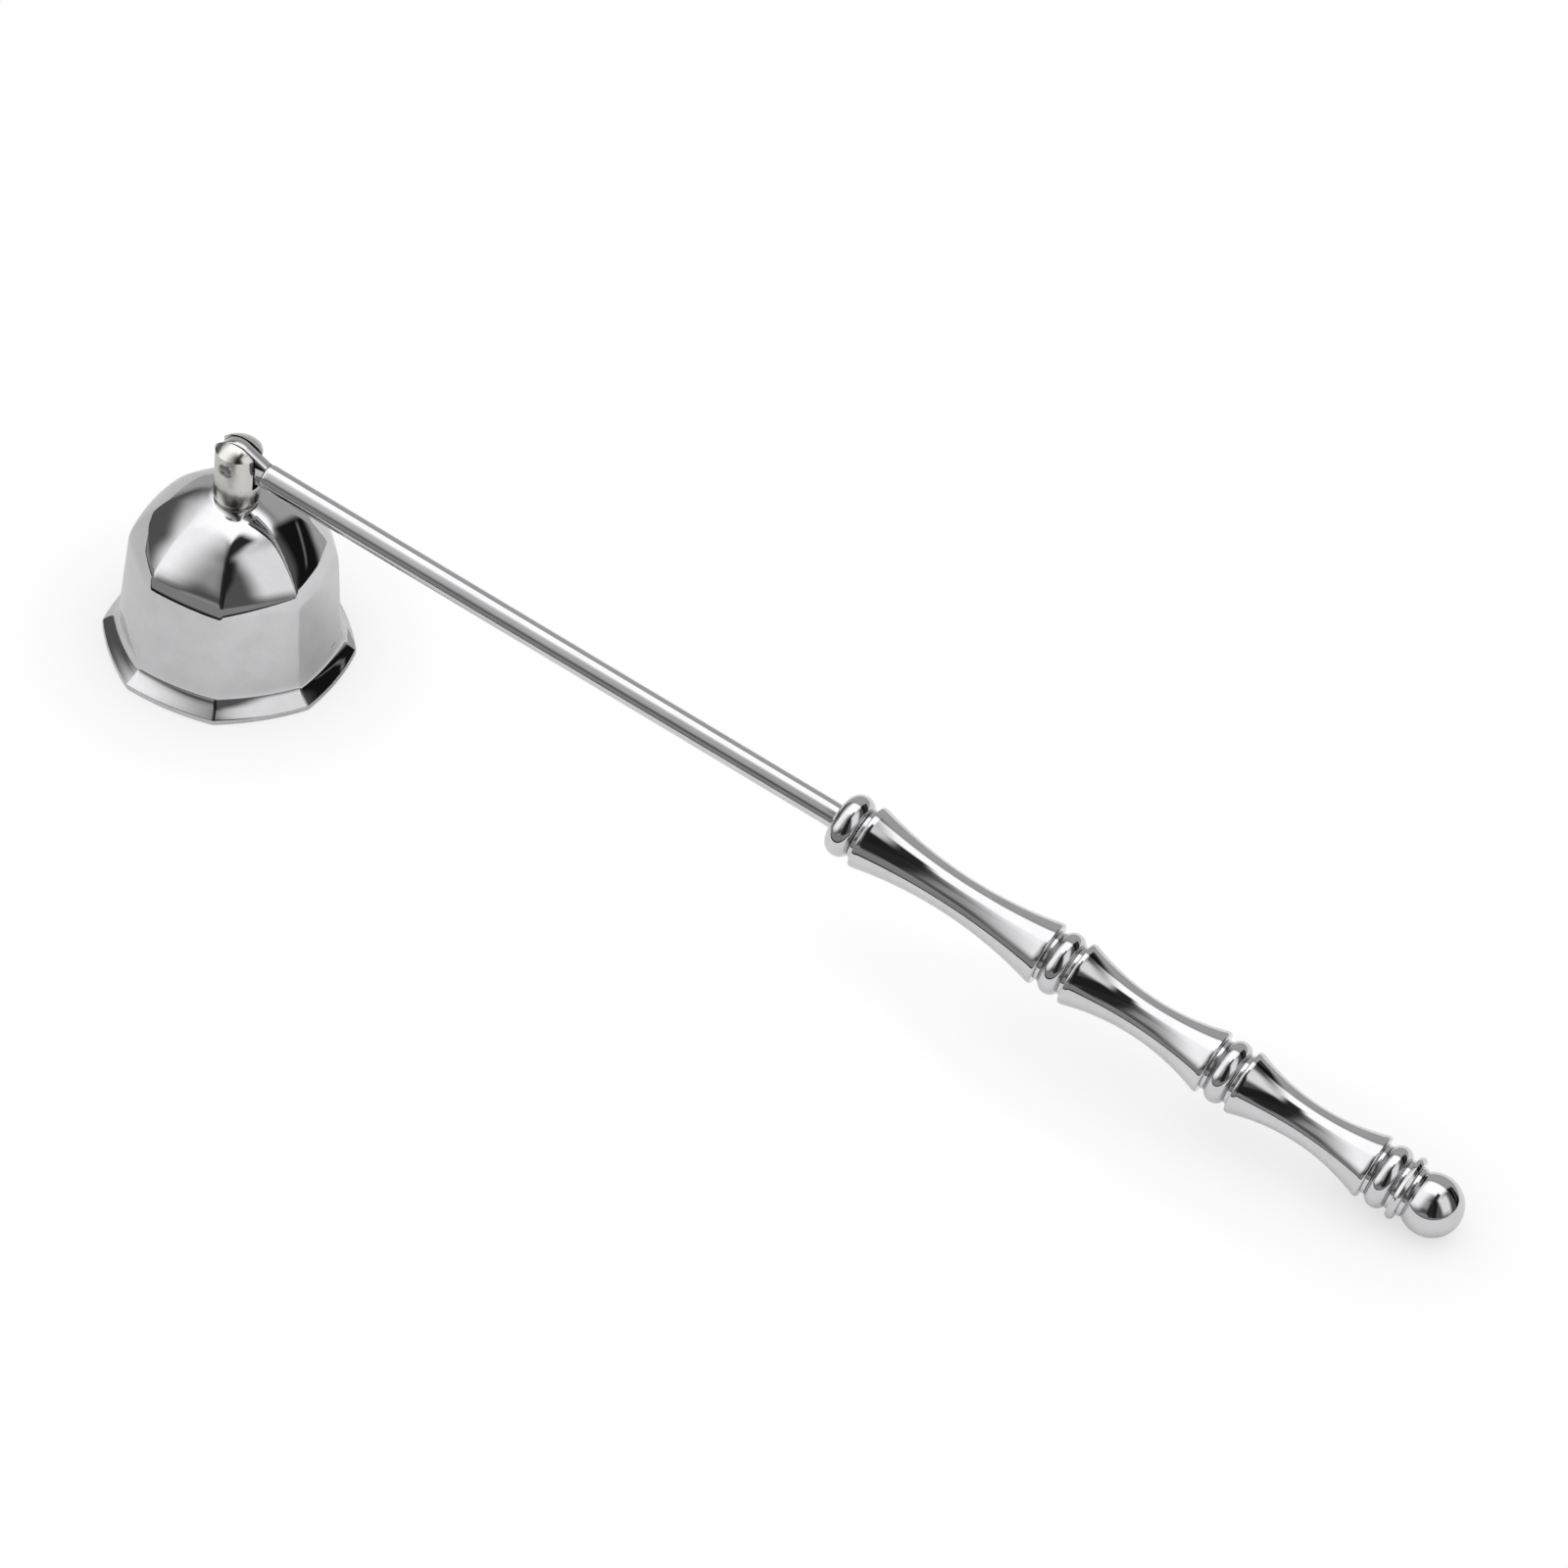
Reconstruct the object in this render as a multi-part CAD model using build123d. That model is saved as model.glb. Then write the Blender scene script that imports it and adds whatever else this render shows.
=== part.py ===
from build123d import *
import math
import os

# Candle snuffer: an eight-sided bell hung on a slotted post, and a thin rod with a turned handle.
# Millimetres. The origin is the middle of the bell's mouth, on the table. +Z is up along the bell's
# axis, and the rod leaves the bell towards +X, resting on the table at the ball on its far end.

# Bell. A half width runs from the axis to the middle of a side. Each side is bowed outwards about an
# upright line that lies behind the axis.
bell_sides = 8
bow_reach = 22.0
brim_half = 19.15
brim_lip = 0.9
brim_lip_round = 0.4
brim_land = 1.0
brim_height = 2.7
brim_cove = 3.0
wall_foot_half = 16.8
wall_top_half = 15.65
wall_top_height = 18.6
shoulder_radius = 8.0
crown_radius = 17.0
bell_wall = 0.8
ridge_round = 3.5
bell_turn = 4.5

# Seat of the post on the crown: a small flat outside, a thicker pad with a flat inside.
seat_half = 3.9
crown_pad = 1.0

# Hinge post, a turned stub with a low round cap, slotted across for the rod's eye.
post_radius = 3.65
post_foot_round = 1.8
post_straight = 9.55
post_cap_height = 1.6
slot_clearance = 0.25
slot_below_pin = 3.9

# Hinge pin, a tight fit in the post's ears and a running fit in the rod's eye.
pin_above_seat = 7.55
pin_radius = 1.0
pin_fit = 0.01
pin_run_clearance = 0.05
pin_short = 0.05
pin_end_round = 0.25

# Screw and washer that hold the post from inside the bell.
screw_radius = 1.25
screw_fit = 0.02
screw_hole_clearance = 0.15
screw_in_post = 2.8
screw_hole_spare = 0.4
screw_head_radius = 2.3
screw_head_height = 1.4
screw_head_round = 0.5
screw_slot_width = 0.6
screw_slot_depth = 0.7
washer_radius = 3.2
washer_thickness = 0.5

# Rod, a round wire with a flat eye at the bell and a slight bend in front of the handle.
rod_radius = 2.0
rod_length = 107.7
rod_bend = 3.2
rod_bend_radius = 30.0
bend_to_collar = 1.5
eye_radius = 3.5
eye_thickness = 1.8
eye_shoulder = 5.1
eye_shoulder_chamfer = 0.3
rod_in_collar = 1.2
tail_radius = 1.5
tail_in_ball = 4.0
tail_end_gap = 0.5
bore_clearance = 0.05

# Handle, turned pieces threaded on the rod's tail: beads between thin rings, and waisted grips.
collar_length = 4.3
collar_foot_radius = 3.5
bead_length = 3.5
bead_radius = 5.15
bead_foot_radius = 3.95
ring_length = 0.7
ring_radius = 4.15
front_grip_length = 32.6
middle_grip_length = 24.5
rear_grip_length = 23.2
grip_end_radius = 5.15
grip_waist_radius = 3.28
grip_land = 0.7
grip_edge_round = 0.3
disc_length = 1.2
disc_radius = 5.3
disc_edge = 0.3
ball_radius = 4.87
ball_foot_radius = 3.8
ball_neck_length = 0.8
ball_neck_radius = 4.1

# Places along the bell's axis, worked out from the profile's tangent arcs.
wall_tilt = math.atan2(wall_foot_half - wall_top_half, wall_top_height - brim_height)
shoulder_x = wall_top_half - shoulder_radius * math.cos(wall_tilt)
shoulder_z = wall_top_height - shoulder_radius * math.sin(wall_tilt)
crown_z = shoulder_z - math.sqrt((crown_radius - shoulder_radius) ** 2 - shoulder_x**2)
crown_join = math.atan2(shoulder_z - crown_z, shoulder_x)
seat_height = crown_z + math.sqrt(crown_radius**2 - seat_half**2)
pad_height = seat_height - crown_pad
pin_height = seat_height + pin_above_seat

# Places along the handle, from the collar's front face.
collar_end = collar_length + ring_length
bead_piece_length = ring_length + bead_length + ring_length
front_bead_start = collar_end + front_grip_length
middle_grip_start = front_bead_start + bead_piece_length
middle_bead_start = middle_grip_start + middle_grip_length
rear_grip_start = middle_bead_start + bead_piece_length
rear_bead_start = rear_grip_start + rear_grip_length
disc_start = rear_bead_start + bead_piece_length
ball_start = disc_start + disc_length
ball_middle = ball_neck_length + math.sqrt(ball_radius**2 - ball_foot_radius**2)
bore_radius = tail_radius + bore_clearance

# The rod drops from the pin so far that the ball stands on the table beside the bell's mouth.
bent_length = bend_to_collar + ball_start + ball_middle
bend = math.radians(rod_bend)
reach_along = rod_length + bent_length * math.cos(bend)
reach_down = bent_length * math.sin(bend)
ball_drop = pin_height - ball_radius
rod_drop = math.asin(ball_drop / math.hypot(reach_along, reach_down)) - math.atan2(reach_down, reach_along)

arm_place = Pos(0, 0, pin_height) * Rot(0, math.degrees(rod_drop), 0)
handle_place = Pos(rod_length, 0, 0) * Rot(0, rod_bend, 0) * Pos(bend_to_collar, 0, 0)


def rounded_arc(centre, radius, first, last):
    """Arc about a centre, between two angles in radians."""
    return CenterArc(centre, radius, math.degrees(first), math.degrees(last - first))


def side_section(foot, inset, top):
    """One side's section, from its foot line up the wall, shoulder and crown and back to its bow's axis."""
    shoulder = shoulder_radius - inset
    crown = crown_radius - inset
    wall_top = (shoulder_x + shoulder * math.cos(wall_tilt), shoulder_z + shoulder * math.sin(wall_tilt))
    flat_angle = math.asin((top - crown_z) / crown)
    flat_half = crown * math.cos(flat_angle)
    edges = [Line(foot @ 1, wall_top)]
    edges.append(rounded_arc((shoulder_x, shoulder_z), shoulder, wall_tilt, crown_join))
    edges.append(rounded_arc((0, crown_z), crown, crown_join, flat_angle))
    edges.append(Polyline((flat_half, top), (-bow_reach, top), (-bow_reach, 0), foot @ 0))
    return make_face(foot.edges() + ShapeList(e for line in edges for e in line.edges()))


def many_sided(section):
    """Turn a side's section about its bow's axis, and keep what the solids of all sides share."""
    bowed = revolve(Plane.XZ * section, Axis((-bow_reach, 0, 0), (0, 0, 1)))
    crossed = bowed
    for side in range(1, bell_sides):
        crossed = crossed & Rot(0, 0, side * 360 / bell_sides) * bowed
    return crossed


def make_bell():
    lip_top = (brim_half, brim_lip)
    wall_foot = (wall_foot_half, brim_height)
    wall_top = (wall_top_half, wall_top_height)
    rim = FilletPolyline((brim_half, 0), lip_top, wall_foot, wall_top, radius=(brim_lip_round, brim_cove))
    outer_foot = Wire(rim.edges().sort_by(Axis.Y)[:-1])
    inner_foot_half = wall_foot_half - bell_wall / math.cos(wall_tilt)
    inner_foot = Wire(Line((brim_half - brim_land, 0), (inner_foot_half, brim_height)).edges())
    outside = many_sided(side_section(outer_foot, 0, seat_height))
    outside = fillet(outside.edges().filter_by(Plane.XY, reverse=True), ridge_round)
    inside = many_sided(side_section(inner_foot, bell_wall, pad_height))
    hole = Cylinder(screw_radius + screw_hole_clearance, 4 * crown_pad)
    shell = outside - inside - Pos(0, 0, pad_height) * hole
    return Rot(0, 0, bell_turn) * shell


def make_post():
    straight_top = seat_height + post_straight
    cap_radius = (post_radius**2 + post_cap_height**2) / (2 * post_cap_height)
    cap_middle = straight_top + post_cap_height - cap_radius
    cap_start = math.asin((straight_top - cap_middle) / cap_radius)
    side = FilletPolyline((0, seat_height), (post_radius, seat_height), (post_radius, straight_top),
                          radius=post_foot_round)
    cap = rounded_arc((0, cap_middle), cap_radius, cap_start, math.pi / 2)
    axis_line = Line((0, straight_top + post_cap_height), (0, seat_height))
    half = make_face(side.edges() + cap.edges() + axis_line.edges())
    post = revolve(Plane.XZ * half, Axis.Z)
    slot_floor = pin_height - slot_below_pin
    slot_height = straight_top + post_cap_height - slot_floor
    slot_width = eye_thickness + 2 * slot_clearance
    slot = Box(3 * post_radius, slot_width, slot_height, align=(Align.CENTER, Align.CENTER, Align.MIN))
    pin_hole = Rot(90, 0, 0) * Cylinder(pin_radius + pin_fit, 3 * post_radius)
    screw_hole = Cylinder(screw_radius + screw_fit, screw_in_post + screw_hole_spare,
                          align=(Align.CENTER, Align.CENTER, Align.MIN))
    post = post - Pos(0, 0, slot_floor) * slot - Pos(0, 0, pin_height) * pin_hole
    return post - Pos(0, 0, seat_height) * screw_hole


def make_pin():
    pin = Cylinder(pin_radius, 2 * (post_radius - pin_short))
    pin = fillet(pin.edges().filter_by(GeomType.CIRCLE), pin_end_round)
    return Pos(0, 0, pin_height) * Rot(90, 0, 0) * pin


def make_washer():
    hole = Cylinder(screw_radius + screw_hole_clearance, washer_thickness)
    washer = Cylinder(washer_radius, washer_thickness) - hole
    return Pos(0, 0, pad_height - washer_thickness / 2) * washer


def make_screw():
    head_top = pad_height - washer_thickness
    from_top = (Align.CENTER, Align.CENTER, Align.MAX)
    head = Cylinder(screw_head_radius, screw_head_height, align=from_top)
    head = fillet(head.edges().group_by(Axis.Z)[0], screw_head_round)
    slot = Box(3 * screw_head_radius, screw_slot_width, 2 * screw_slot_depth)
    head = head - Pos(0, 0, -screw_head_height) * slot
    shank_length = seat_height + screw_in_post - head_top
    shank = Cylinder(screw_radius, shank_length, align=(Align.CENTER, Align.CENTER, Align.MIN))
    return Pos(0, 0, head_top) * (head + shank)


def make_rod():
    eye = Circle(eye_radius) + Pos(eye_shoulder / 2, 0) * Rectangle(eye_shoulder, 2 * rod_radius)
    tongue = extrude(Plane.XZ * eye, eye_thickness / 2, both=True)
    collar_stop = (handle_place * Pos(rod_in_collar, 0, 0)).position
    path = FilletPolyline((eye_shoulder, 0, 0), (rod_length, 0, 0), collar_stop, radius=rod_bend_radius)
    wire = sweep(Plane(path @ 0, z_dir=path % 0) * Circle(rod_radius), path)
    wire = chamfer(wire.edges().group_by(Axis.X)[0], eye_shoulder_chamfer)
    tail_length = ball_start + tail_in_ball - rod_in_collar
    tail = Cylinder(tail_radius, tail_length, align=(Align.CENTER, Align.CENTER, Align.MIN))
    tail = handle_place * Pos(rod_in_collar, 0, 0) * Rot(0, 90, 0) * tail
    pin_hole = Rot(90, 0, 0) * Cylinder(pin_radius + pin_run_clearance, 3 * eye_thickness)
    return tongue + wire + tail - pin_hole


def turned(outline, length):
    """Turn an outline about the handle's axis, with the bore for the rod's tail."""
    base = Polyline(outline @ 1, (length, bore_radius), (0, bore_radius), outline @ 0)
    return revolve(make_face(outline.edges() + base.edges()), Axis.X)


def bead_line(start, length, foot, top):
    return ThreePointArc((start, foot), (start + length / 2, top), (start + length, foot))


def make_collar():
    bead = bead_line(0, collar_length, collar_foot_radius, bead_radius)
    ring_foot = (collar_length, collar_foot_radius)
    ring = Polyline(ring_foot, (collar_length, ring_radius), (collar_end, ring_radius))
    collar = turned(Wire(bead.edges() + ring.edges()), collar_end)
    seat = Cylinder(rod_radius + bore_clearance, rod_in_collar,
                    align=(Align.CENTER, Align.CENTER, Align.MIN))
    return collar - Rot(0, 90, 0) * seat


def make_bead():
    bead_end = ring_length + bead_length
    first = Polyline((0, ring_radius), (ring_length, ring_radius), (ring_length, bead_foot_radius))
    bead = bead_line(ring_length, bead_length, bead_foot_radius, bead_radius)
    last = Polyline((bead_end, bead_foot_radius), (bead_end, ring_radius), (bead_piece_length, ring_radius))
    return turned(Wire(first.edges() + bead.edges() + last.edges()), bead_piece_length)


def make_grip(length):
    far_land = length - grip_land
    first = FilletPolyline((0, ring_radius), (0, grip_end_radius), (grip_land, grip_end_radius),
                           radius=grip_edge_round)
    waist = bead_line(grip_land, length - 2 * grip_land, grip_end_radius, grip_waist_radius)
    last = FilletPolyline((far_land, grip_end_radius), (length, grip_end_radius), (length, ring_radius),
                          radius=grip_edge_round)
    return turned(Wire(first.edges() + waist.edges() + last.edges()), length)


def make_disc():
    edge_radius = disc_radius - disc_edge
    outline = Polyline((0, edge_radius), (disc_length / 2, disc_radius), (disc_length, edge_radius))
    return turned(Wire(outline.edges()), disc_length)


def make_ball():
    foot = Polyline((0, 0), (0, ball_neck_radius), (ball_neck_length, ball_neck_radius),
                    (ball_neck_length, ball_foot_radius))
    foot_angle = math.atan2(ball_foot_radius, ball_neck_length - ball_middle)
    ball = rounded_arc((ball_middle, 0), ball_radius, foot_angle, 0)
    axis_line = Line((ball_middle + ball_radius, 0), (0, 0))
    solid = revolve(make_face(foot.edges() + ball.edges() + axis_line.edges()), Axis.X)
    hole = Cylinder(bore_radius, tail_in_ball + tail_end_gap, align=(Align.CENTER, Align.CENTER, Align.MIN))
    return solid - Rot(0, 90, 0) * hole


on_bell = {
    "bell": make_bell(),
    "hinge_post": make_post(),
    "hinge_pin": make_pin(),
    "post_washer": make_washer(),
    "post_screw": make_screw(),
}
on_handle = {
    "collar_bead": make_collar(),
    "front_grip": Pos(collar_end, 0, 0) * make_grip(front_grip_length),
    "front_bead": Pos(front_bead_start, 0, 0) * make_bead(),
    "middle_grip": Pos(middle_grip_start, 0, 0) * make_grip(middle_grip_length),
    "middle_bead": Pos(middle_bead_start, 0, 0) * make_bead(),
    "rear_grip": Pos(rear_grip_start, 0, 0) * make_grip(rear_grip_length),
    "rear_bead": Pos(rear_bead_start, 0, 0) * make_bead(),
    "end_disc": Pos(disc_start, 0, 0) * make_disc(),
    "end_ball": Pos(ball_start, 0, 0) * make_ball(),
}

nodes = dict(on_bell)
nodes["rod"] = arm_place * make_rod()
for name, piece in on_handle.items():
    nodes[name] = arm_place * handle_place * piece

os.makedirs("parts", exist_ok=True)
for name, piece in nodes.items():
    export_step(piece, f"parts/{name}.step")
print(f"pin height {pin_height:.3f}, seat height {seat_height:.3f}, pad height {pad_height:.3f}")
print(f"rod drop {math.degrees(rod_drop):.3f} degrees")
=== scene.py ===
import math

import bmesh
import bpy
from mathutils import Matrix, Quaternion, Vector


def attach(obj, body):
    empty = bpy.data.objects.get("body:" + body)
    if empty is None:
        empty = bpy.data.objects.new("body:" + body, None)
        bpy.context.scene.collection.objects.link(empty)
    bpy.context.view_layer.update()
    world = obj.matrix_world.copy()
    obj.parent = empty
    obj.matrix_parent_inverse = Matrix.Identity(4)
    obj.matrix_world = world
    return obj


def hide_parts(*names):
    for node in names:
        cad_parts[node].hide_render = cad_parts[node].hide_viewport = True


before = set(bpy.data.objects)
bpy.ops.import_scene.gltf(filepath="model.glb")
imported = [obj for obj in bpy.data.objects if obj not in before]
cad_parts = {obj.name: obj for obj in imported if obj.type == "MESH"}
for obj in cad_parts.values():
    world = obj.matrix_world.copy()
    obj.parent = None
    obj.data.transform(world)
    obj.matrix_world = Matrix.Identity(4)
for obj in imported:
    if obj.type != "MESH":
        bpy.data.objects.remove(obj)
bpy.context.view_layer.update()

MM = 0.001

# Bell, in millimetres, as the solid has it.
SIDES = 8
BELL_TURN = math.radians(4.5)
BOW_REACH = 22.0
BRIM_HALF = 19.15
BRIM_LIP = 0.9
BRIM_LIP_ROUND = 0.4
BRIM_LAND = 1.0
BRIM_COVE = 3.0
WALL_FOOT = (16.8, 2.7)
WALL_TOP = (15.65, 18.6)
SHOULDER_RADIUS = 8.0
CROWN_RADIUS = 17.0
BELL_WALL = 0.8
SEAT_HALF = 3.9
CROWN_PAD = 1.0
HOLE_RADIUS = 1.4

# Bell, finer than the solid: the crown's bow and the ridges' rounds, which widen near the post.
CROWN_BOW = 6.0
WALL_RIDGE = 1.5
CROWN_RIDGE = 3.0
RIDGE_WIDENS_BELOW = 9.0
WIDEST_RIDGE_SHARE = 0.9
INNER_RIDGE = 1.2
INNER_RIDGE_SHARE = 0.4
BRIM_FOOT_ROUND = 0.15
INNER_FOOT_ROUND = 0.6

# Hinge. The foot's round, the pin's ends and the eye's taper are finer than the solids'.
POST_RADIUS = 3.65
POST_FOOT_ROUND = 0.8
POST_FOOT_MIDDLE = 0.5
POST_STRAIGHT = 9.55
POST_CAP = 1.6
EAR_EDGE = 0.15
SCREW_EDGE = 0.06
PIN_ABOVE_SEAT = 7.55
PIN_RADIUS = 1.0
PIN_HALF = 3.6
SLOT_HALF = 1.15
SLOT_BELOW_PIN = 3.9
EYE_RADIUS = 3.5
EYE_HALF = 0.9
EYE_HOLE = 1.05
EYE_EDGE = 0.2
EYE_SHOULDER = 5.1
EYE_TAPER = math.radians(71)
EYE_INTO_WIRE = 0.6

# Peened end of the pin: distance past its half length, radius and edge round.
PIN_END = [
    (0.1, 0.0, 0),
    (0.1, 0.25, 0.1),
    (0.3, 0.6, 0.15),
    (0.15, 1.15, 0.15),
    (-0.3, 1.35, 0),
    (-0.3, PIN_RADIUS, 0),
]

# Rod
ROD_RADIUS = 2.0
ROD_LENGTH = 107.7
ROD_BEND = math.radians(3.2)
ROD_BEND_RADIUS = 30.0
ROD_PAST_BEND = 2.5
ROD_END_ROUND = 0.5
BEND_TO_COLLAR = 1.5

# Handle. The steps part the foot of a bead or of the ball from the ring beside it.
BORE = 1.55
TURNED_EDGE = 0.12
COLLAR_LENGTH = 4.3
COLLAR_FOOT = 3.5
COLLAR_STEP = 0.1
BEAD_LENGTH = 3.5
BEAD_RADIUS = 5.15
BEAD_FOOT = 3.95
BEAD_STEP = 0.02
RING_LENGTH = 0.7
RING_RADIUS = 4.15
GRIP_LENGTHS = {"front_grip": 32.6, "middle_grip": 24.5, "rear_grip": 23.2}
BEAD_AFTER = {"front_grip": "front_bead", "middle_grip": "middle_bead", "rear_grip": "rear_bead"}
GRIP_END = 5.15
GRIP_WAIST = 3.28
GRIP_LAND = 0.7
GRIP_EDGE = 0.3
DISC_LENGTH = 1.2
DISC_RADIUS = 5.3
DISC_EDGE = 0.3
DISC_FACE_ROUND = 0.1
DISC_RIM_ROUND = 0.15
BALL_RADIUS = 4.87
BALL_FOOT = 3.8
BALL_NECK_LENGTH = 0.8
BALL_NECK_RADIUS = 4.1
BALL_STEP = 0.05

# Fineness of the meshes.
CORNER_STEPS = 6
SIDE_STEPS = 12
RIDGE_STEPS = 8
SECTION_STEPS = 24
LONGEST_STEP = 0.8
CAP_STEPS = 20
EYE_EDGE_STEPS = 4
WIRE_STEP = 4.0
WIRE_STEPS = 25
BEND_STEPS = 8
BEAD_STEPS = 32
GRIP_STEPS = 64
BALL_STEPS = 64
HANDLE_TURNS = 128
POST_TURNS = 96
PIN_TURNS = 64
EYE_TURNS = 160
WIRE_TURNS = 96
SHARP_ANGLE = math.radians(35)
BEVEL_ANGLE = math.radians(40)
BEVEL_SEGMENTS = 3


def arc(centre, radius, first, last, steps):
    turn = [first + (last - first) * k / steps for k in range(steps + 1)]
    return [(centre[0] + radius * math.cos(a), centre[1] + radius * math.sin(a)) for a in turn]


def through(start, middle, end, steps):
    """Points of the circle through three points, from the first to the last."""
    (ax, ay), (bx, by), (cx, cy) = start, middle, end
    d = 2 * (ax * (by - cy) + bx * (cy - ay) + cx * (ay - by))
    sa = ax * ax + ay * ay
    sb = bx * bx + by * by
    sc = cx * cx + cy * cy
    ux = (sa * (by - cy) + sb * (cy - ay) + sc * (ay - by)) / d
    uy = (sa * (cx - bx) + sb * (ax - cx) + sc * (bx - ax)) / d
    first = math.atan2(ay - uy, ax - ux)
    last = math.atan2(cy - uy, cx - ux)
    if last - first > math.pi:
        last -= 2 * math.pi
    if first - last > math.pi:
        last += 2 * math.pi
    return arc((ux, uy), math.hypot(ax - ux, ay - uy), first, last, steps)


def rounded(*points):
    """A line through (x, y) or (x, y, radius), with an arc of that radius at the corner."""
    line = []
    for i, point in enumerate(points):
        here = Vector(point[:2])
        radius = point[2] if len(point) > 2 else 0
        if not radius:
            line.append(tuple(here))
            continue
        back = (Vector(points[i - 1][:2]) - here).normalized()
        ahead = (Vector(points[i + 1][:2]) - here).normalized()
        half = back.angle(ahead) / 2
        middle = here + (back + ahead).normalized() * radius / math.sin(half)
        start = here + back * radius / math.tan(half) - middle
        end = here + ahead * radius / math.tan(half) - middle
        first = math.atan2(start.y, start.x)
        sweep = start.angle(end) * (1 if start.cross(end) > 0 else -1)
        line += arc(middle, radius, first, first + sweep, CORNER_STEPS)
    return line


def smooth_shading(mesh):
    mesh.shade_smooth()
    mesh.set_sharp_from_angle(angle=SHARP_ANGLE)


def mesh_piece(name, verts, faces, material, body, nodes=()):
    mesh = bpy.data.meshes.new(name)
    mesh.from_pydata([Vector(v) * MM for v in verts], [], faces)
    mesh.update()
    work = bmesh.new()
    work.from_mesh(mesh)
    bmesh.ops.recalc_face_normals(work, faces=work.faces)
    work.to_mesh(mesh)
    work.free()
    smooth_shading(mesh)
    mesh.materials.append(material)
    piece = bpy.data.objects.new(name, mesh)
    bpy.context.scene.collection.objects.link(piece)
    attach(piece, body)
    if nodes:
        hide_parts(*nodes)
    return piece


def ring_faces(rows, count, closed):
    faces = []
    for i in range(rows if closed else rows - 1):
        j = (i + 1) % rows
        for k in range(count):
            n = (k + 1) % count
            faces.append((i * count + k, i * count + n, j * count + n, j * count + k))
    return faces


def lathe(profile, place, turns, closed=True):
    """Turn (along, radius) points about the X axis of a place.

    A closed profile is a loop around a bore. An open one starts and ends on the axis.
    """
    inner = profile if closed else profile[1:-1]
    verts = []
    for along, radius in inner:
        for k in range(turns):
            a = 2 * math.pi * k / turns
            verts.append(place @ Vector((along, radius * math.cos(a), radius * math.sin(a))))
    faces = ring_faces(len(inner), turns, closed)
    if not closed:
        first = len(verts)
        last = first + 1
        verts.append(place @ Vector((profile[0][0], 0, 0)))
        verts.append(place @ Vector((profile[-1][0], 0, 0)))
        base = (len(inner) - 1) * turns
        for k in range(turns):
            n = (k + 1) % turns
            faces.append((first, n, k))
            faces.append((last, base + k, base + n))
    return verts, faces


# Places that follow from the sizes.
wall_tilt = math.atan2(WALL_FOOT[0] - WALL_TOP[0], WALL_TOP[1] - WALL_FOOT[1])
shoulder = (
    WALL_TOP[0] - SHOULDER_RADIUS * math.cos(wall_tilt),
    WALL_TOP[1] - SHOULDER_RADIUS * math.sin(wall_tilt),
)
crown_z = shoulder[1] - math.sqrt((CROWN_RADIUS - SHOULDER_RADIUS) ** 2 - shoulder[0] ** 2)
crown_join = math.atan2(shoulder[1] - crown_z, shoulder[0])
seat_z = crown_z + math.sqrt(CROWN_RADIUS**2 - SEAT_HALF**2)
pad_z = seat_z - CROWN_PAD
pin_z = seat_z + PIN_ABOVE_SEAT

starts = {"collar_bead": 0.0}
run = COLLAR_LENGTH + RING_LENGTH
for grip, bead in BEAD_AFTER.items():
    starts[grip] = run
    run += GRIP_LENGTHS[grip]
    starts[bead] = run
    run += BEAD_LENGTH + 2 * RING_LENGTH
starts["end_disc"] = run
starts["end_ball"] = run + DISC_LENGTH
ball_middle = BALL_NECK_LENGTH + math.sqrt(BALL_RADIUS**2 - BALL_FOOT**2)

# The rod slopes down from the pin so that the ball lies on the floor.
bent = BEND_TO_COLLAR + starts["end_ball"] + ball_middle
reach_along = ROD_LENGTH + bent * math.cos(ROD_BEND)
reach_down = bent * math.sin(ROD_BEND)
fall = math.asin((pin_z - BALL_RADIUS) / math.hypot(reach_along, reach_down))
drop = fall - math.atan2(reach_down, reach_along)
arm = Matrix.Translation((0, 0, pin_z)) @ Matrix.Rotation(drop, 4, "Y")
handle = arm @ Matrix.Translation((ROD_LENGTH, 0, 0)) @ Matrix.Rotation(ROD_BEND, 4, "Y")
handle = handle @ Matrix.Translation((BEND_TO_COLLAR, 0, 0))
upright = Matrix.Rotation(math.radians(-90), 4, "Y")


# Materials
def graph(owner):
    """Empty the node tree of a material or world, and return it with a function that adds nodes."""
    owner.use_nodes = True
    tree = owner.node_tree
    tree.nodes.clear()

    def node(kind, inputs=(), **settings):
        made = tree.nodes.new(kind)
        for key, value in settings.items():
            setattr(made, key, value)
        for key, value in dict(inputs).items():
            if isinstance(value, bpy.types.NodeSocket):
                tree.links.new(value, made.inputs[key])
            else:
                made.inputs[key].default_value = value
        return made

    return tree, node


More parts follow.
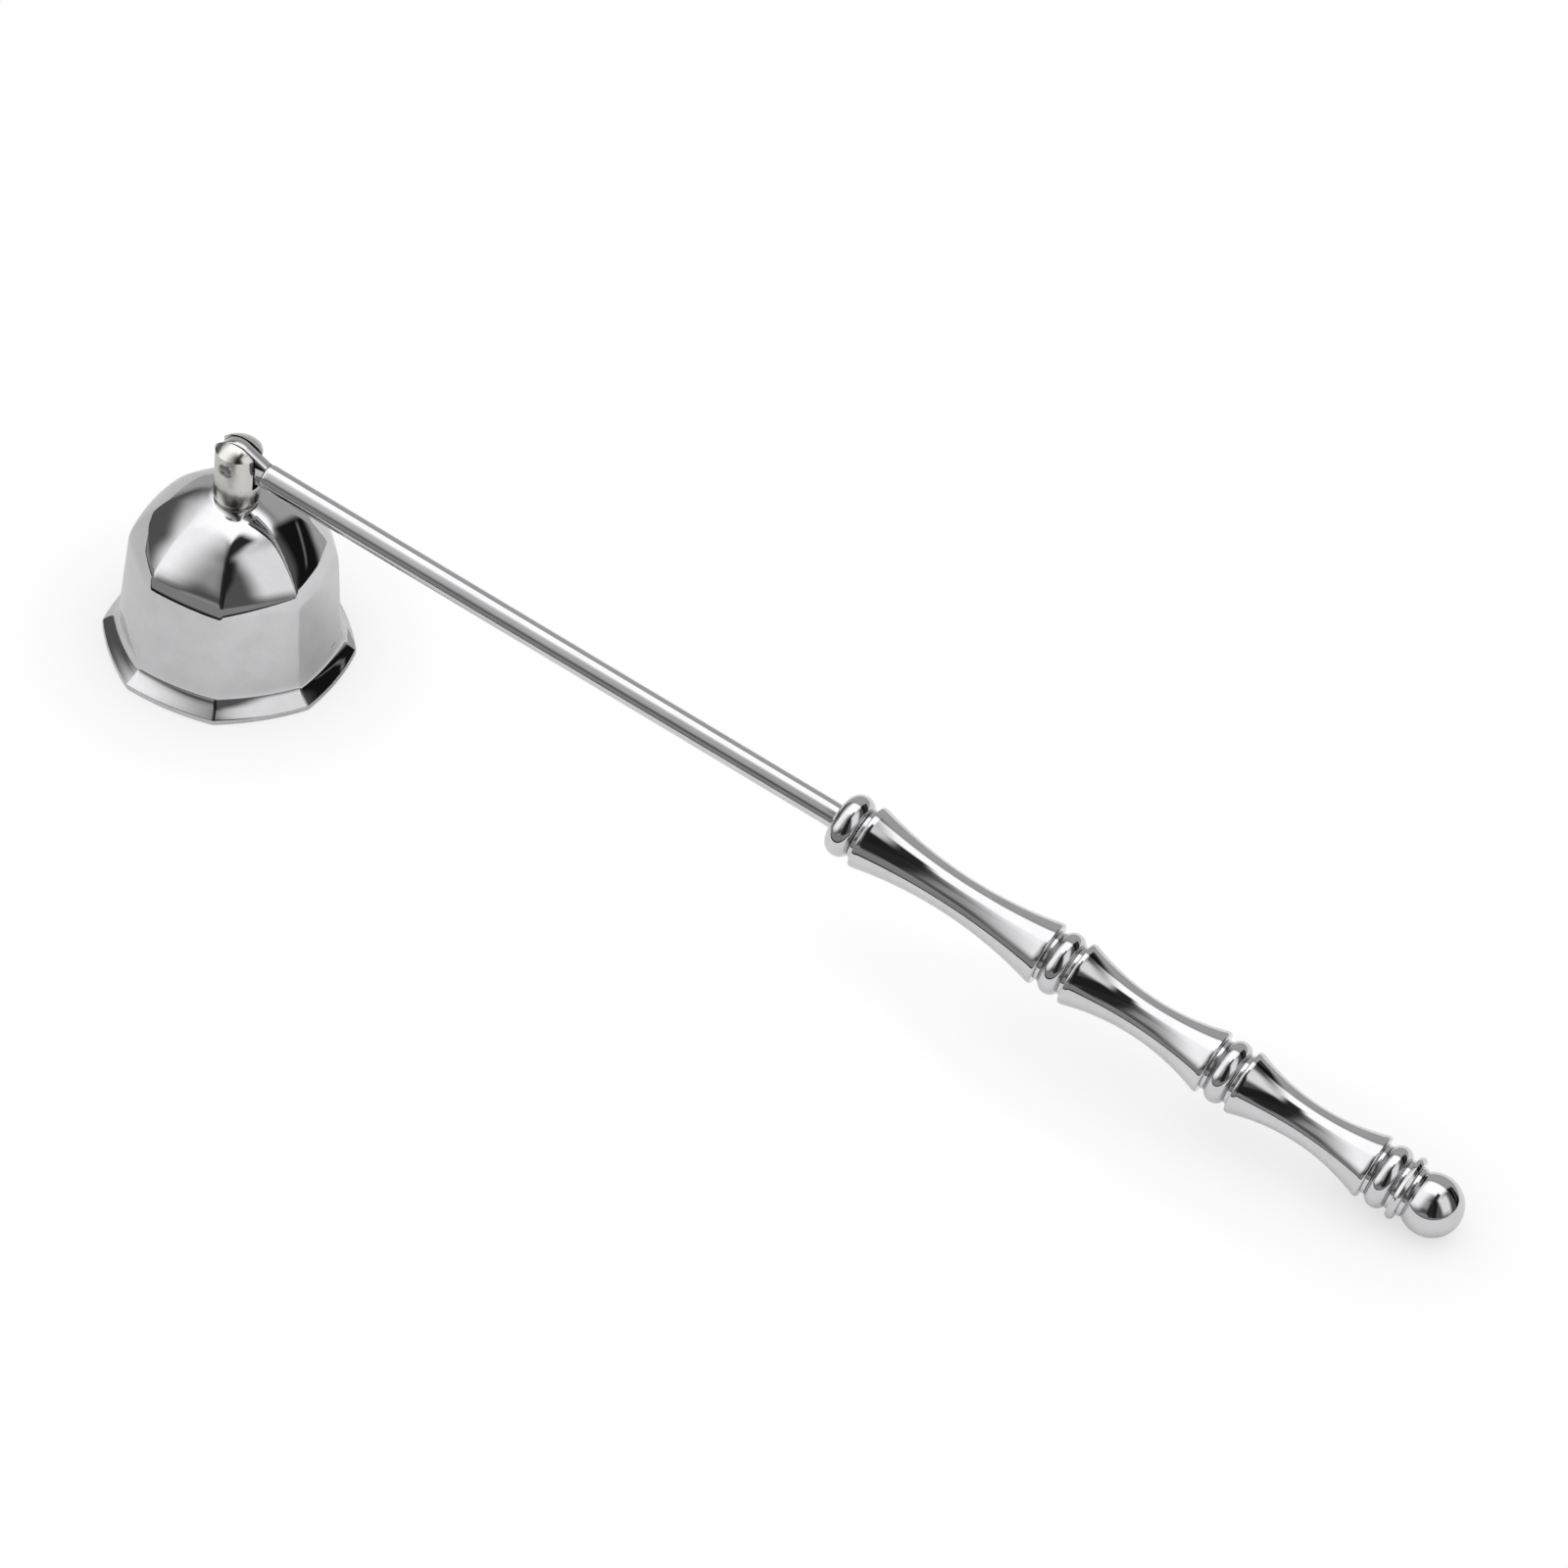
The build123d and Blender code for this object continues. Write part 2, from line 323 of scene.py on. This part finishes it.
def metal(name, colour, dull, smooth, wave, grain):
    """Plated metal: a mirror with faint haze, hairline scratches and a slight wave in the surface."""
    material = bpy.data.materials.new(name)
    tree, node = graph(material)
    place = node("ShaderNodeTexCoord").outputs["Object"]
    haze = node("ShaderNodeTexNoise", {
        "Vector": place, "Scale": 260.0, "Detail": 5.0, "Roughness": 0.6,
    })
    specks = node("ShaderNodeTexNoise", {
        "Vector": place, "Scale": 1500.0, "Detail": 3.0, "Roughness": 0.7,
    })
    stretch = node("ShaderNodeMapping", {"Vector": place, "Scale": (700.0, 9000.0, 9000.0)})
    hairs = node("ShaderNodeTexNoise", {"Vector": stretch.outputs[0], "Scale": 1.0, "Detail": 2.0})
    mist = node("ShaderNodeMapRange", {
        "Value": haze.outputs[0], "From Min": 0.35, "From Max": 0.75, "To Min": smooth, "To Max": dull,
    })
    worn = node("ShaderNodeMapRange", {
        "Value": specks.outputs[0], "From Min": 0.62, "From Max": 0.8, "To Min": 0.0, "To Max": dull,
    })
    rough = node("ShaderNodeMath", {0: mist.outputs[0], 1: worn.outputs[0]}, operation="ADD")
    tone = node("ShaderNodeMapRange", {
        "Value": haze.outputs[0], "From Min": 0.3, "From Max": 0.7, "To Min": 0.94, "To Max": 1.03,
    })
    shade = node("ShaderNodeVectorMath", {0: colour, "Scale": tone.outputs[0]}, operation="SCALE")
    ripple = node("ShaderNodeTexNoise", {"Vector": place, "Scale": 130.0, "Detail": 1.0})
    soft = node("ShaderNodeBump", {
        "Height": ripple.outputs[0], "Strength": wave, "Distance": 0.0002,
    })
    fine = node("ShaderNodeBump", {
        "Height": hairs.outputs[0], "Strength": grain, "Distance": 0.00001, "Normal": soft.outputs[0],
    })
    shader = node("ShaderNodeBsdfPrincipled", {
        "Base Color": shade.outputs[0],
        "Metallic": 1.0,
        "Roughness": rough.outputs[0],
        "Normal": fine.outputs[0],
    })
    out = node("ShaderNodeOutputMaterial")
    tree.links.new(shader.outputs[0], out.inputs[0])
    return material


chrome = metal("chrome", (0.62, 0.62, 0.63), dull=0.07, smooth=0.02, wave=0.02, grain=0.05)
nickel = metal("nickel", (0.66, 0.65, 0.62), dull=0.26, smooth=0.12, wave=0.1, grain=0.4)
steel = metal("steel", (0.38, 0.38, 0.38), dull=0.35, smooth=0.22, wave=0.05, grain=0.4)


# Bell: rows of bowed octagons along its section, outside and inside.
def octagon(half, height, corner, bow):
    """One level of the bell: eight sides bowed about lines behind the axis, and rounded corners."""
    step = math.pi / SIDES
    reach = half + bow - corner
    middle = math.sqrt(reach**2 - (bow * math.sin(step)) ** 2) - bow * math.cos(step)
    start = math.atan2(middle * math.sin(step), middle * math.cos(step) + bow)
    row = []
    for side in range(SIDES):
        facing = BELL_TURN + side * 2 * step
        behind = (-bow * math.cos(facing), -bow * math.sin(facing))
        row += arc(behind, half + bow, facing - start, facing + start, SIDE_STEPS)
        between = (middle * math.cos(facing + step), middle * math.sin(facing + step))
        ridge = arc(between, corner, facing + start, facing + 2 * step - start, RIDGE_STEPS)
        row += ridge[1:-1]
    return [Vector((x, y, height)) for x, y in row]


def section(inset, top, foot):
    """Half widths and heights from a foot line up the wall and over the crown to a flat top."""
    low = SHOULDER_RADIUS - inset
    high = CROWN_RADIUS - inset
    flat = math.asin((top - crown_z) / high)
    line = list(foot)
    line += arc(shoulder, low, wall_tilt, crown_join, SECTION_STEPS)
    line += arc((0, crown_z), high, crown_join, flat, SECTION_STEPS)[1:]
    return line


def steps_between(line, longest):
    """More points on the long straight stretches."""
    fine = [line[0]]
    for (ax, ay), (bx, by) in zip(line, line[1:]):
        count = max(1, math.ceil(math.hypot(bx - ax, by - ay) / longest))
        for k in range(1, count + 1):
            fine.append((ax + (bx - ax) * k / count, ay + (by - ay) * k / count))
    return fine


def over_crown(wall_value, crown_value, height):
    """A value that changes from the wall's to the crown's over the lower half of the crown's height."""
    rise = max(0, height - WALL_TOP[1]) / (seat_z - WALL_TOP[1])
    return wall_value + (crown_value - wall_value) * min(1, 2 * rise)


foot_line = rounded(
    (BRIM_HALF - BRIM_LAND, 0),
    (BRIM_HALF, 0, BRIM_FOOT_ROUND),
    (BRIM_HALF, BRIM_LIP, BRIM_LIP_ROUND),
    (*WALL_FOOT, BRIM_COVE),
    WALL_TOP,
)
outer_line = steps_between(section(0, seat_z, foot_line[:-1]), LONGEST_STEP)
inner_foot = (WALL_FOOT[0] - BELL_WALL / math.cos(wall_tilt), WALL_FOOT[1], INNER_FOOT_ROUND)
inner_top = (
    WALL_TOP[0] - BELL_WALL * math.cos(wall_tilt),
    WALL_TOP[1] - BELL_WALL * math.sin(wall_tilt),
)
inner_start = rounded((BRIM_HALF - BRIM_LAND, 0), inner_foot, inner_top)
inner_line = steps_between(section(BELL_WALL, pad_z, inner_start[1:-1]), LONGEST_STEP)

rows = []
for half, height in outer_line:
    corner = over_crown(WALL_RIDGE, CROWN_RIDGE, height) + max(0, RIDGE_WIDENS_BELOW - half)
    corner = min(corner, WIDEST_RIDGE_SHARE * half)
    rows.append(octagon(half, height, corner, over_crown(BOW_REACH, CROWN_BOW, height)))
for height in (seat_z, pad_z):
    rows.append(octagon(HOLE_RADIUS, height, WIDEST_RIDGE_SHARE * HOLE_RADIUS, CROWN_BOW))
for half, height in reversed(inner_line):
    rows.append(octagon(half, height, min(INNER_RIDGE, INNER_RIDGE_SHARE * half), BOW_REACH))
verts = [v for row in rows for v in row]
faces = ring_faces(len(rows), len(rows[0]), True)
mesh_piece("bell_skin", verts, faces, chrome, "bell_head", ["bell"])

# Hinge post: turned stub, parted at the slot into a base and two ears.
post_top = seat_z + POST_STRAIGHT + POST_CAP
cap_radius = (POST_RADIUS**2 + POST_CAP**2) / (2 * POST_CAP)
cap_middle = post_top - cap_radius
cap_start = math.asin((seat_z + POST_STRAIGHT - cap_middle) / cap_radius)
straight = rounded(
    (POST_FOOT_MIDDLE, seat_z),
    (POST_RADIUS, seat_z, POST_FOOT_ROUND),
    (POST_RADIUS, seat_z + POST_STRAIGHT),
)
cap = arc((0, cap_middle), cap_radius, cap_start, math.pi / 2, CAP_STEPS)
stub = [(seat_z, 0)] + [(z, r) for r, z in straight + cap[1:]]
slot_floor = pin_z - SLOT_BELOW_PIN


def cut(work, point, away):
    """Cut a solid flat at a point and drop the side that the direction points to."""
    found = bmesh.ops.bisect_plane(
        work,
        geom=work.verts[:] + work.edges[:] + work.faces[:],
        plane_co=Vector(point) * MM,
        plane_no=away,
        clear_outer=True,
        dist=1e-9,
    )
    edges = [e for e in found["geom_cut"] if isinstance(e, bmesh.types.BMEdge)]
    bmesh.ops.contextual_create(work, geom=edges)


def post_piece(name, cuts, nodes=()):
    verts, faces = lathe(stub, upright, POST_TURNS, closed=False)
    piece = mesh_piece(name, verts, faces, nickel, "bell_head", nodes)
    work = bmesh.new()
    work.from_mesh(piece.data)
    for point, away in cuts:
        cut(work, point, away)
    bmesh.ops.recalc_face_normals(work, faces=work.faces)
    work.to_mesh(piece.data)
    work.free()
    smooth_shading(piece.data)
    return piece


def soften(piece, width):
    bevel = piece.modifiers.new("edges", "BEVEL")
    bevel.width = width * MM
    bevel.segments = BEVEL_SEGMENTS
    bevel.limit_method = "ANGLE"
    bevel.angle_limit = BEVEL_ANGLE
    bevel.harden_normals = True


post_piece("post_base", [((0, 0, slot_floor), (0, 0, 1))], ["hinge_post"])
for side, label in ((1, "back"), (-1, "front")):
    above_slot = ((0, 0, slot_floor), (0, 0, -1))
    beside_slot = ((0, side * SLOT_HALF, 0), (0, -side, 0))
    ear = post_piece("post_ear_" + label, [above_slot, beside_slot])
    soften(ear, EAR_EDGE)

pin_place = Matrix.Translation((0, 0, pin_z)) @ Matrix.Rotation(math.radians(90), 4, "Z")
end_line = rounded(*[(PIN_HALF + past, radius, edge) for past, radius, edge in PIN_END])
pin_line = [(-x, r) for x, r in end_line] + [(x, r) for x, r in reversed(end_line)]
verts, faces = lathe(pin_line, pin_place, PIN_TURNS, closed=False)
mesh_piece("pin_turned", verts, faces, steel, "bell_head", ["hinge_pin"])


# Rod: a flat eye on the pin, and a round wire with a slight bend in front of the handle.
def eye_reach(angle, inset):
    """Distance from the pin to the eye's outline, which runs straight from its round into the wire."""
    reach = EYE_RADIUS - inset
    if abs(angle) >= EYE_TAPER:
        return reach
    taper = reach / math.cos(EYE_TAPER - abs(angle))
    return min(taper, (EYE_SHOULDER + EYE_INTO_WIRE) / math.cos(angle))


# Half of the eye's section: the hole's edge, marked by None, and then the rounded outer edge.
eye_rows = [(None, EYE_HALF)]
eye_rows += arc((EYE_EDGE, EYE_HALF - EYE_EDGE), EYE_EDGE, math.pi / 2, math.pi, EYE_EDGE_STEPS)
eye_rows += [(inset, -across) for inset, across in reversed(eye_rows)]
verts = []
for inset, across in eye_rows:
    for k in range(EYE_TURNS):
        a = 2 * math.pi * k / EYE_TURNS - math.pi
        reach = EYE_HOLE if inset is None else eye_reach(a, inset)
        verts.append(arm @ Vector((reach * math.cos(a), across, reach * math.sin(a))))
faces = ring_faces(len(eye_rows), EYE_TURNS, True)
mesh_piece("rod_eye", verts, faces, chrome, "handle_arm", ["rod"])

# Rings of the wire: place along the rod, height, tilt and radius.
tangent = ROD_BEND_RADIUS * math.tan(ROD_BEND / 2)
end_middle = (EYE_SHOULDER + ROD_END_ROUND, ROD_RADIUS - ROD_END_ROUND)
wire = []
for along, radius in arc(end_middle, ROD_END_ROUND, math.pi, math.pi / 2, CORNER_STEPS):
    wire.append((along, 0.0, 0.0, radius))
for k in range(WIRE_STEPS):
    along = EYE_SHOULDER + 2 * ROD_END_ROUND + k * WIRE_STEP
    wire.append((along, 0.0, 0.0, ROD_RADIUS))
for k in range(BEND_STEPS + 1):
    a = ROD_BEND * k / BEND_STEPS
    along = ROD_LENGTH - tangent + ROD_BEND_RADIUS * math.sin(a)
    wire.append((along, -ROD_BEND_RADIUS * (1 - math.cos(a)), a, ROD_RADIUS))
along = ROD_LENGTH + ROD_PAST_BEND * math.cos(ROD_BEND)
wire.append((along, -ROD_PAST_BEND * math.sin(ROD_BEND), ROD_BEND, ROD_RADIUS))
verts = []
for x, z, a, radius in wire:
    for k in range(WIRE_TURNS):
        t = 2 * math.pi * k / WIRE_TURNS
        rise = radius * math.sin(t)
        place = Vector((x + rise * math.sin(a), radius * math.cos(t), z + rise * math.cos(a)))
        verts.append(arm @ place)
last_ring = WIRE_TURNS * (len(wire) - 1)
faces = ring_faces(len(wire), WIRE_TURNS, False)
faces.append(tuple(range(WIRE_TURNS)))
faces.append(tuple(range(last_ring, last_ring + WIRE_TURNS)))
mesh_piece("rod_wire", verts, faces, chrome, "handle_arm")


# Handle: turned beads, grips, disc and ball.
def turned(name, profile, closed=True):
    place = handle @ Matrix.Translation((starts[name], 0, 0))
    verts, faces = lathe(profile, place, HANDLE_TURNS, closed)
    mesh_piece(name + "_turned", verts, faces, chrome, "handle_arm", [name])


collar_end = COLLAR_LENGTH + RING_LENGTH
collar_top = (COLLAR_LENGTH / 2, BEAD_RADIUS)
collar = [(0, BORE)]
collar += through((0, COLLAR_FOOT), collar_top, (COLLAR_LENGTH, COLLAR_FOOT), BEAD_STEPS)
collar += rounded(
    (COLLAR_LENGTH, COLLAR_FOOT + COLLAR_STEP),
    (COLLAR_LENGTH, RING_RADIUS, TURNED_EDGE),
    (collar_end, RING_RADIUS, TURNED_EDGE),
    (collar_end, BORE),
)
turned("collar_bead", collar)

bead_end = RING_LENGTH + BEAD_LENGTH
piece_end = bead_end + RING_LENGTH
bead_top = (piece_end / 2, BEAD_RADIUS)
bead = rounded(
    (0, BORE),
    (0, RING_RADIUS, TURNED_EDGE),
    (RING_LENGTH, RING_RADIUS, TURNED_EDGE),
    (RING_LENGTH, BEAD_FOOT + BEAD_STEP),
)
bead += through((RING_LENGTH, BEAD_FOOT), bead_top, (bead_end, BEAD_FOOT), BEAD_STEPS)
bead += rounded(
    (bead_end, BEAD_FOOT + BEAD_STEP),
    (bead_end, RING_RADIUS, TURNED_EDGE),
    (piece_end, RING_RADIUS, TURNED_EDGE),
    (piece_end, BORE),
)
for name in BEAD_AFTER.values():
    turned(name, bead)

for name, length in GRIP_LENGTHS.items():
    waist_middle = (length / 2, GRIP_WAIST)
    waist = through((GRIP_LAND, GRIP_END), waist_middle, (length - GRIP_LAND, GRIP_END), GRIP_STEPS)
    line = rounded((0, BORE), (0, GRIP_END, GRIP_EDGE), waist[0])
    line += waist[1:-1]
    line += rounded(waist[-1], (length, GRIP_END, GRIP_EDGE), (length, BORE))
    turned(name, line)

rim = DISC_RADIUS - DISC_EDGE
disc = rounded(
    (0, BORE),
    (0, rim, DISC_FACE_ROUND),
    (DISC_LENGTH / 2, DISC_RADIUS, DISC_RIM_ROUND),
    (DISC_LENGTH, rim, DISC_FACE_ROUND),
    (DISC_LENGTH, BORE),
)
turned("end_disc", disc)

foot_angle = math.atan2(BALL_FOOT, BALL_NECK_LENGTH - ball_middle)
ball = rounded(
    (0, 0),
    (0, BALL_NECK_RADIUS, TURNED_EDGE),
    (BALL_NECK_LENGTH, BALL_NECK_RADIUS, TURNED_EDGE),
    (BALL_NECK_LENGTH, BALL_FOOT + BALL_STEP),
)
ball += arc((ball_middle, 0), BALL_RADIUS, foot_angle, 0, BALL_STEPS)
turned("end_ball", ball, closed=False)

# Screw and washer inside the bell keep their solids' shape.
for name in ("post_screw", "post_washer"):
    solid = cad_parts[name]
    solid.data.materials.clear()
    solid.data.materials.append(steel)
    soften(solid, SCREW_EDGE)

# Floor, in metres. The camera sees the white world through it, darkened by a painted shadow where the
# object stands close, so that a handle swung below it still shows. In the metal it is mirrored as paper
# with a painted glow that grows towards the handle, with a painted shade spot beside the bell where that
# glow is taken away, and that ends in front of the object.
FLOOR_HALF = 4.0
PAPER_DARKEST = 0.88
PAPER_PALEST = 0.92
FLOOR_GLOW = 0.24
GLOW_STARTS = -0.05
GLOW_FULL = 0.05
# Painted shade spot beside the bell in the mirrored floor: its middle, and the distances inside which
# the painted glow is gone and outside which it is whole.
PAINTED_SHADE_SPOT = (0.027, 0.007, 0.0)
PAINTED_SHADE_SPOT_INNER = 0.006
PAINTED_SHADE_SPOT_OUTER = 0.016
PAPER_ENDS = -0.046
PAST_PAPER_DARK = -0.054
PAST_PAPER_GREY = -0.064
DARK_LEVEL = 0.01
GREY_LEVEL = 0.3
SHADOW_REACH = 0.02
SHADOW_LEVEL = 0.65
WHITE = (1, 1, 1, 1)

floor_material = bpy.data.materials.new("paper")
tree, node = graph(floor_material)
ray = node("ShaderNodeLightPath")
mirror_ray = ray.outputs["Is Glossy Ray"]
surface = node("ShaderNodeNewGeometry")
spot = surface.outputs["Position"]
along = node("ShaderNodeSeparateXYZ", {0: spot})

weave = node("ShaderNodeTexNoise", {"Vector": spot, "Scale": 900.0, "Detail": 4.0})
tint = node("ShaderNodeMapRange", {
    "Value": weave.outputs[0], "To Min": PAPER_DARKEST, "To Max": PAPER_PALEST,
})
paper = node("ShaderNodeBsdfDiffuse", {"Color": tint.outputs[0]})

# Painted glow: the paper emits light for mirror rays only, more towards the handle.
fade = node("ShaderNodeMapRange", {
    "Value": along.outputs["X"],
    "From Min": GLOW_STARTS,
    "From Max": GLOW_FULL,
    "To Min": 0.0,
    "To Max": FLOOR_GLOW,
})
# Painted shade beside the bell: the painted glow fades out near this spot.
away = node("ShaderNodeVectorMath", {0: spot, 1: PAINTED_SHADE_SPOT}, operation="DISTANCE")
clear = node("ShaderNodeMapRange", {
    "Value": away.outputs["Value"], "From Min": PAINTED_SHADE_SPOT_INNER, "From Max": PAINTED_SHADE_SPOT_OUTER,
})
fade = node("ShaderNodeMath", {0: fade.outputs[0], 1: clear.outputs[0]}, operation="MULTIPLY")
glow = node("ShaderNodeMix", {"Factor": mirror_ray, "A": 0.0, "B": fade.outputs[0]}, data_type="FLOAT")
painted_glow = node("ShaderNodeEmission", {"Color": WHITE, "Strength": glow.outputs[0]})
lit = node("ShaderNodeAddShader", {0: paper.outputs[0], 1: painted_glow.outputs[0]})

front = along.outputs["Y"]
past_edge = node("ShaderNodeMath", {0: front, 1: PAPER_ENDS}, operation="LESS_THAN")
mirrored = node("ShaderNodeMath", {0: past_edge.outputs[0], 1: mirror_ray}, operation="MULTIPLY")
below = node("ShaderNodeMapRange", {
    "Value": front,
    "From Min": PAST_PAPER_GREY,
    "From Max": PAST_PAPER_DARK,
    "To Min": GREY_LEVEL,
    "To Max": DARK_LEVEL,
})
dark = node("ShaderNodeEmission", {"Color": WHITE, "Strength": below.outputs[0]})
seen = node("ShaderNodeMixShader", {0: mirrored.outputs[0], 1: lit.outputs[0], 2: dark.outputs[0]})

# Painted shadow: ambient occlusion near the object tints the see-through floor that the camera sees.
near = node("ShaderNodeAmbientOcclusion", {"Distance": SHADOW_REACH}, samples=16)
shadow = node("ShaderNodeMapRange", {
    "Value": near.outputs["AO"], "To Min": SHADOW_LEVEL, "To Max": 1.0,
})
veil = node("ShaderNodeBsdfTransparent", {"Color": shadow.outputs[0]})
shown = node("ShaderNodeMixShader", {
    0: ray.outputs["Is Camera Ray"], 1: seen.outputs[0], 2: veil.outputs[0],
})
nothing = node("ShaderNodeBsdfTransparent")
one_sided = node("ShaderNodeMixShader", {
    0: surface.outputs["Backfacing"], 1: shown.outputs[0], 2: nothing.outputs[0],
})
out = node("ShaderNodeOutputMaterial")
tree.links.new(one_sided.outputs[0], out.inputs[0])

floor_corners = [
    (-FLOOR_HALF, -FLOOR_HALF, 0),
    (FLOOR_HALF, -FLOOR_HALF, 0),
    (FLOOR_HALF, FLOOR_HALF, 0),
    (-FLOOR_HALF, FLOOR_HALF, 0),
]
floor_mesh = bpy.data.meshes.new("floor")
floor_mesh.from_pydata(floor_corners, [], [(0, 1, 2, 3)])
floor_mesh.materials.append(floor_material)
floor = bpy.data.objects.new("floor", floor_mesh)
bpy.context.scene.collection.objects.link(floor)

# Studio. Lamps and dark cards are soft-edged boxes on a flat map of the sky, which has the zenith in
# its middle, the horizon at distance 1, +X to its right and +Y at its top. The camera stands on the
# side of -Y. Each box has a strength, a middle, a half size, a turn in degrees and a blur, and lies
# over those before it. Below the horizon the sky has one even level, which a handle swung below the
# floor mirrors.
SKY_LEVEL = 0.12
UNDER_LEVEL = 0.5
UNDER_FULL = -0.1
STUDIO = {
    "grey wall behind": (0.5, (0, 0.9), (1.2, 0.4), 0, (0.06, 0.06)),
    "grey band in front, left": (0.42, (-0.45, -0.6), (0.5, 0.16), 0, (0.08, 0.08)),
    "lamp on the left": (1.4, (-0.444, -0.219), (0.33, 0.5), -27.8, (0.22, 0.15)),
    "dark card, far left": (0.12, (-0.92, 0.03), (0.17, 0.24), 0, (0.1, 0.1)),
    "lamp overhead": (1.6, (-0.08, 0.17), (0.36, 0.28), 0, (0.1, 0.07)),
    "lamp on the right": (1.1, (0.6, -0.09), (0.32, 0.24), -20, (0.13, 0.1)),
    "dark card overhead": (0.03, (0.18, -0.2), (0.075, 0.25), 0, (0.04, 0.05)),
    "dark card in front": (0.03, (0.25, -0.72), (0.15, 0.27), 0, (0.05, 0.08)),
    "dark card in front, right": (0.02, (0.39, -0.6), (0.11, 0.34), 30, (0.04, 0.06)),
    "grey strip in front, low": (0.36, (-0.1, -0.97), (0.3, 0.04), 0, (0.1, 0.03)),
    "dark card behind, right": (0.01, (0.56, 0.6), (0.32, 0.17), 0, (0.05, 0.05)),
    "light strip on that card": (0.2, (0.5, 0.62), (0.2, 0.012), -12, (0.04, 0.01)),
}

world = bpy.data.worlds.new("studio")
bpy.context.scene.world = world
tree, node = graph(world)
way = node("ShaderNodeTexCoord").outputs["Generated"]
ray = node("ShaderNodeLightPath")
height = node("ShaderNodeSeparateXYZ", {0: way}).outputs["Z"]
above = node("ShaderNodeMath", {0: height, 1: 1.0}, operation="ADD")
spread = node("ShaderNodeMath", {0: above.outputs[0]}, operation="INVERSE_SQRT")
sky = node("ShaderNodeVectorMath", {0: way, "Scale": spread.outputs[0]}, operation="SCALE").outputs[0]


def box(level, strength, middle, half, turn, blur):
    """Lay a box of some strength over the level so far."""
    turned_by = (0, 0, math.radians(turn))
    place = node("ShaderNodeMapping", {
        "Vector": sky, "Location": (*middle, 0), "Rotation": turned_by,
    }, vector_type="TEXTURE")
    size = node("ShaderNodeVectorMath", {0: place.outputs[0]}, operation="ABSOLUTE")
    across = node("ShaderNodeSeparateXYZ", {0: size.outputs[0]})
    shares = []
    for axis in (0, 1):
        share = node("ShaderNodeMapRange", {
            "Value": across.outputs[axis],
            "From Min": half[axis] + blur[axis],
            "From Max": half[axis] - blur[axis],
        }, interpolation_type="SMOOTHSTEP")
        shares.append(share.outputs[0])
    both = node("ShaderNodeMath", {0: shares[0], 1: shares[1]}, operation="MULTIPLY")
    laid = node("ShaderNodeMix", {
        "Factor": both.outputs[0], "A": level, "B": strength,
    }, data_type="FLOAT")
    return laid.outputs[0]


level = SKY_LEVEL
for placed in STUDIO.values():
    level = box(level, *placed)
under = node("ShaderNodeMapRange", {"Value": height, "From Min": 0.0, "From Max": UNDER_FULL})
whole = node("ShaderNodeMix", {
    "Factor": under.outputs[0], "A": level, "B": UNDER_LEVEL,
}, data_type="FLOAT")
light = node("ShaderNodeBackground", {"Color": WHITE, "Strength": whole.outputs[0]})
white = node("ShaderNodeBackground", {"Color": WHITE, "Strength": 1.0})
mix = node("ShaderNodeMixShader", {
    0: ray.outputs["Is Camera Ray"], 1: light.outputs[0], 2: white.outputs[0],
})
out = node("ShaderNodeOutputWorld")
tree.links.new(mix.outputs[0], out.inputs[0])

# Camera, as the photograph was taken. It aims at a point near the middle of the snuffer, in millimetres.
AZIMUTH = math.radians(25.65)
ELEVATION = math.radians(43.46)
ROLL = math.radians(7.57)
NEAR_MIDDLE = Vector((105, 0, 20))
AIM_LEFT = 5.65
AIM_UP = 5.67
DISTANCE = 1.0
FOCAL_LENGTH = 153.7
SENSOR_WIDTH = 36.0

towards = Vector((
    math.sin(AZIMUTH) * math.cos(ELEVATION),
    -math.cos(AZIMUTH) * math.cos(ELEVATION),
    math.sin(ELEVATION),
))
right = Vector((math.cos(AZIMUTH), math.sin(AZIMUTH), 0))
up = towards.cross(right)
aim = (NEAR_MIDDLE - right * AIM_LEFT + up * AIM_UP) * MM
lens = bpy.data.cameras.new("camera")
lens.lens = FOCAL_LENGTH
lens.sensor_width = SENSOR_WIDTH
camera = bpy.data.objects.new("camera", lens)
bpy.context.scene.collection.objects.link(camera)
camera.rotation_mode = "QUATERNION"
camera.location = aim + towards * DISTANCE
camera.rotation_quaternion = (-towards).to_track_quat("-Z", "Y") @ Quaternion((0, 0, 1), ROLL)
bpy.context.scene.camera = camera
bpy.context.scene.view_settings.view_transform = "Standard"
